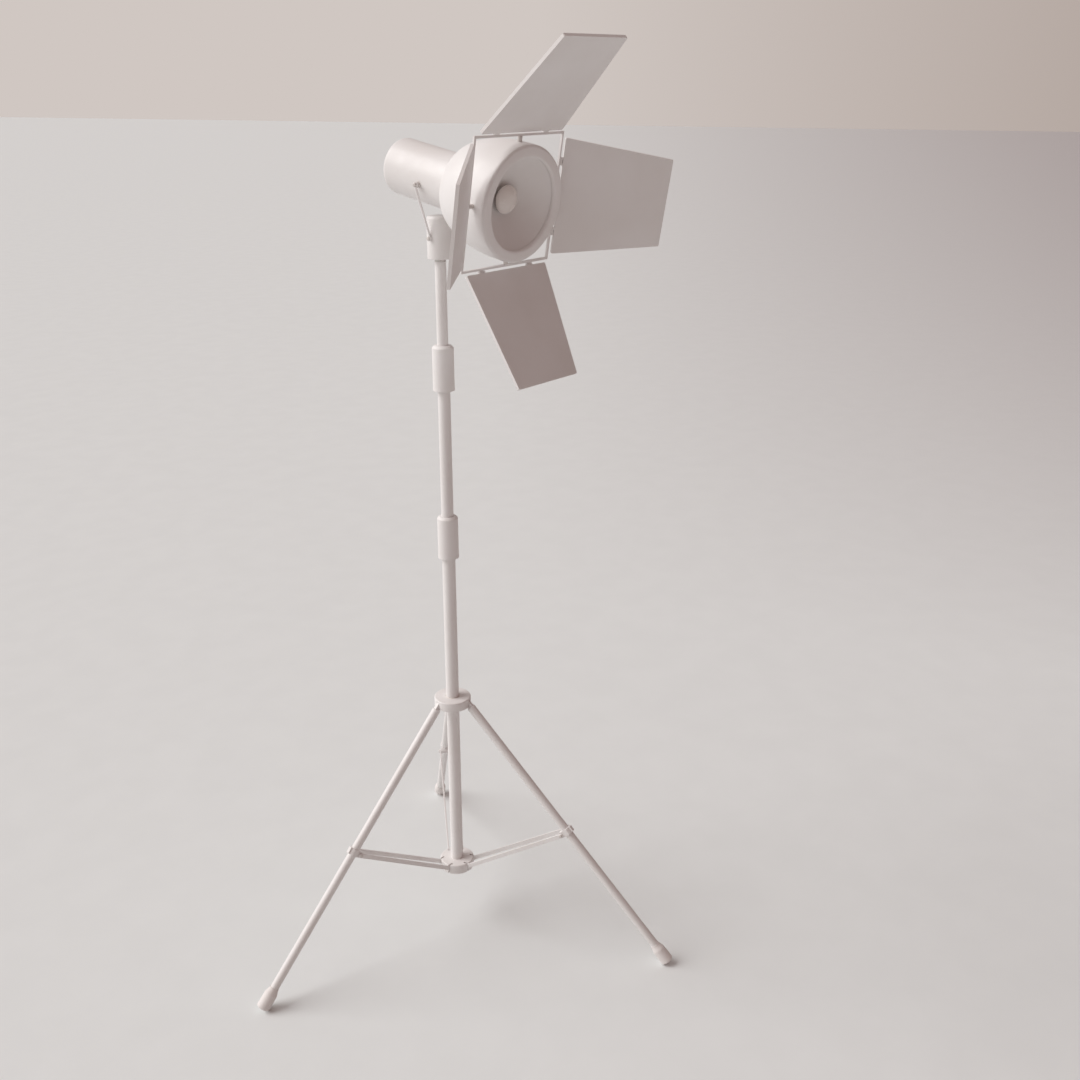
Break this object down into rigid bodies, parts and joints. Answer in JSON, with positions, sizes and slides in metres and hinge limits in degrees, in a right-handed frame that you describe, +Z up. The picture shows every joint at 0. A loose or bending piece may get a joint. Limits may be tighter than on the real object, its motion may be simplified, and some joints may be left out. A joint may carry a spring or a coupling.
{
  "type": "studio spotlight on folding stand",
  "caption": "Studio spotlight with an open bowl reflector and hinged barn doors, on a tilting yoke and a telescopic stand with folding braced legs.",
  "frame": {"origin": "on the floor, under the axis of the column, with the legs spread", "axes": "+Z up along the column, lamp pointing to -Y, +X to the side that carries the tilt knob"},
  "size_m": [0.929, 0.972, 2.0788],
  "materials": {
    "stand_paint": "warm off-white powder coat, satin",
    "collar_plastic": "warm off-white moulded plastic, fine texture",
    "nylon": "natural nylon",
    "boot_rubber": "warm off-white moulded rubber",
    "fastener_steel": "painted over with the frame, steel underneath",
    "spigot_steel": "turned steel",
    "lamp_paint": "warm off-white powder coat, satin",
    "reflector_paint": "warm off-white satin inside the bowl",
    "door_paint": "warm off-white powder coat on sheet metal",
    "ceramic_white": "glazed ceramic",
    "bulb_glass": "opal glass",
    "bulb_cap": "pressed cap",
    "module_plastic": "mid-grey moulded plastic",
    "switch_plastic": "darker grey gloss rocker",
    "wire_sleeve": "glass-fibre sleeve"
  },
  "bodies": {
    "column": {"base_column": "stand_paint", "column_plug": "collar_plastic", "lower_hub": "stand_paint", "hub_pins": "fastener_steel", "lower_lock_body": "nylon", "lower_collet": "nylon"},
    "lower_collar": {"lower_collar": "collar_plastic"},
    "crown": {"crown_hub": "stand_paint", "crown_pins": "fastener_steel", "crown_bush": "nylon"},
    "leg_rear": {"leg_rear_tube": "stand_paint", "leg_rear_bracket": "stand_paint", "leg_rear_boot": "boot_rubber"},
    "brace_rear": {"brace_rear_straps": "stand_paint", "brace_rear_rivets": "fastener_steel"},
    "leg_left": {"leg_left_tube": "stand_paint", "leg_left_bracket": "stand_paint", "leg_left_boot": "boot_rubber"},
    "brace_left": {"brace_left_straps": "stand_paint", "brace_left_rivets": "fastener_steel"},
    "leg_right": {"leg_right_tube": "stand_paint", "leg_right_bracket": "stand_paint", "leg_right_boot": "boot_rubber"},
    "brace_right": {"brace_right_straps": "stand_paint", "brace_right_rivets": "fastener_steel"},
    "middle_riser": {"middle_riser": "stand_paint", "middle_bush": "nylon", "upper_lock_body": "nylon", "upper_collet": "nylon"},
    "upper_collar": {"upper_collar": "collar_plastic"},
    "top_riser": {"top_riser": "stand_paint", "top_bush": "nylon", "stand_spigot": "spigot_steel"},
    "swivel_block": {"swivel_block": "stand_paint", "yoke_bolts": "fastener_steel"},
    "block_lock_screw": {"block_lock_screw": "collar_plastic"},
    "yoke": {"yoke_arm_left": "stand_paint", "yoke_arm_right": "stand_paint"},
    "lamp_head": {"rear_housing": "lamp_paint", "rear_cap": "lamp_paint", "bell_housing": "lamp_paint", "front_ring": "lamp_paint", "reflector": "reflector_paint", "bulb_glass": "bulb_glass", "bulb_base": "bulb_cap", "lamp_socket": "ceramic_white", "socket_bracket": "lamp_paint", "trunnion_bosses": "fastener_steel", "trunnion_bolt": "fastener_steel", "inlet_module": "module_plastic", "lamp_wiring": "wire_sleeve", "door_frame": "door_paint", "frame_studs": "fastener_steel", "door_hinge_pins": "fastener_steel"},
    "tilt_knob": {"tilt_knob": "collar_plastic"},
    "power_switch": {"power_switch": "switch_plastic"},
    "door_top": {"door_top": "door_paint"},
    "door_left": {"door_left": "door_paint"},
    "door_bottom": {"door_bottom": "door_paint"},
    "door_right": {"door_right": "door_paint"}
  },
  "joints": [
    {"name": "crown_slide", "type": "slide", "parent": "column", "child": "crown", "axis": [0, 0, 1], "range_m": [0, 0.22651]},
    {"name": "leg_rear_fold", "type": "hinge", "parent": "crown", "child": "leg_rear", "pos_m": [0.02443, 0.02911, 0.619], "axis": [-0.766, 0.6428, 0], "range_deg": [0, 37.3]},
    {"name": "brace_rear_fold", "type": "hinge", "parent": "column", "child": "brace_rear", "pos_m": [0.02057, 0.02451, 0.158], "axis": [-0.766, 0.6428, 0], "range_deg": [-56.52, 0]},
    {"name": "leg_left_fold", "type": "hinge", "parent": "crown", "child": "leg_left", "pos_m": [-0.03742, 0.0066, 0.619], "axis": [-0.1736, -0.9848, 0], "range_deg": [0, 37.3]},
    {"name": "brace_left_fold", "type": "hinge", "parent": "column", "child": "brace_left", "pos_m": [-0.03151, 0.00556, 0.158], "axis": [-0.1736, -0.9848, 0], "range_deg": [-56.52, 0]},
    {"name": "leg_right_fold", "type": "hinge", "parent": "crown", "child": "leg_right", "pos_m": [0.013, -0.03571, 0.619], "axis": [0.9397, 0.342, 0], "range_deg": [0, 37.3]},
    {"name": "brace_right_fold", "type": "hinge", "parent": "column", "child": "brace_right", "pos_m": [0.01094, -0.03007, 0.158], "axis": [0.9397, 0.342, 0], "range_deg": [-56.52, 0]},
    {"name": "lower_collar_twist", "type": "hinge", "parent": "column", "child": "lower_collar", "pos_m": [0, 0, 1.038], "axis": [0, 0, 1], "range_deg": [0, 90]},
    {"name": "middle_riser_slide", "type": "slide", "parent": "column", "child": "middle_riser", "axis": [0, 0, 1], "range_m": [-0.285, 0.4]},
    {"name": "upper_collar_twist", "type": "hinge", "parent": "middle_riser", "child": "upper_collar", "pos_m": [0, 0, 1.427], "axis": [0, 0, 1], "range_deg": [0, 90]},
    {"name": "top_riser_slide", "type": "slide", "parent": "middle_riser", "child": "top_riser", "axis": [0, 0, 1], "range_m": [-0.175, 0.5]},
    {"name": "head_swivel", "type": "hinge", "parent": "top_riser", "child": "swivel_block", "pos_m": [0, 0, 1.7], "axis": [0, 0, 1], "continuous": true},
    {"name": "lock_screw_turn", "type": "hinge", "parent": "swivel_block", "child": "block_lock_screw", "pos_m": [0.01414, 0.01414, 1.684], "axis": [0.7071, 0.7071, 0], "range_deg": [0, 360]},
    {"name": "yoke_swing", "type": "hinge", "parent": "swivel_block", "child": "yoke", "pos_m": [0, 0, 1.701], "axis": [1, 0, 0], "range_deg": [-25, 25]},
    {"name": "head_tilt", "type": "hinge", "parent": "yoke", "child": "lamp_head", "pos_m": [0, 0, 1.809], "axis": [1, 0, 0], "range_deg": [-35, 15]},
    {"name": "tilt_knob_turn", "type": "hinge", "parent": "lamp_head", "child": "tilt_knob", "pos_m": [0, 0, 1.809], "axis": [1, 0, 0], "range_deg": [0, 360]},
    {"name": "switch_rock", "type": "hinge", "parent": "lamp_head", "child": "power_switch", "pos_m": [0, 0.1003, 1.83906], "axis": [1, 0, 0], "range_deg": [-12, 0]},
    {"name": "door_top_swing", "type": "hinge", "parent": "lamp_head", "child": "door_top", "pos_m": [-0.00171, -0.2285, 1.91248], "axis": [0.9999, -0.0023, 0.0129], "range_deg": [-52.2, 52.8]},
    {"name": "door_left_swing", "type": "hinge", "parent": "lamp_head", "child": "door_left", "pos_m": [-0.13099, -0.205, 1.78187], "axis": [-0.0131, -0.1771, 0.9841], "range_deg": [-53.7, 51.3]},
    {"name": "door_bottom_swing", "type": "hinge", "parent": "lamp_head", "child": "door_bottom", "pos_m": [0.00171, -0.18211, 1.65464], "axis": [-0.9999, 0.0023, -0.0129], "range_deg": [-52.2, 52.8]},
    {"name": "door_right_swing", "type": "hinge", "parent": "lamp_head", "child": "door_right", "pos_m": [0.13099, -0.20561, 1.78525], "axis": [0.0131, 0.1771, -0.9841], "range_deg": [-46.5, 58.5]}
  ],
  "couplings": [
    {"joint": "leg_rear_fold", "follows": "crown_slide", "rad_per_m": 2.8741},
    {"joint": "brace_rear_fold", "follows": "crown_slide", "rad_per_m": -4.3547},
    {"joint": "leg_left_fold", "follows": "crown_slide", "rad_per_m": 2.8741},
    {"joint": "brace_left_fold", "follows": "crown_slide", "rad_per_m": -4.3547},
    {"joint": "leg_right_fold", "follows": "crown_slide", "rad_per_m": 2.8741},
    {"joint": "brace_right_fold", "follows": "crown_slide", "rad_per_m": -4.3547}
  ]
}
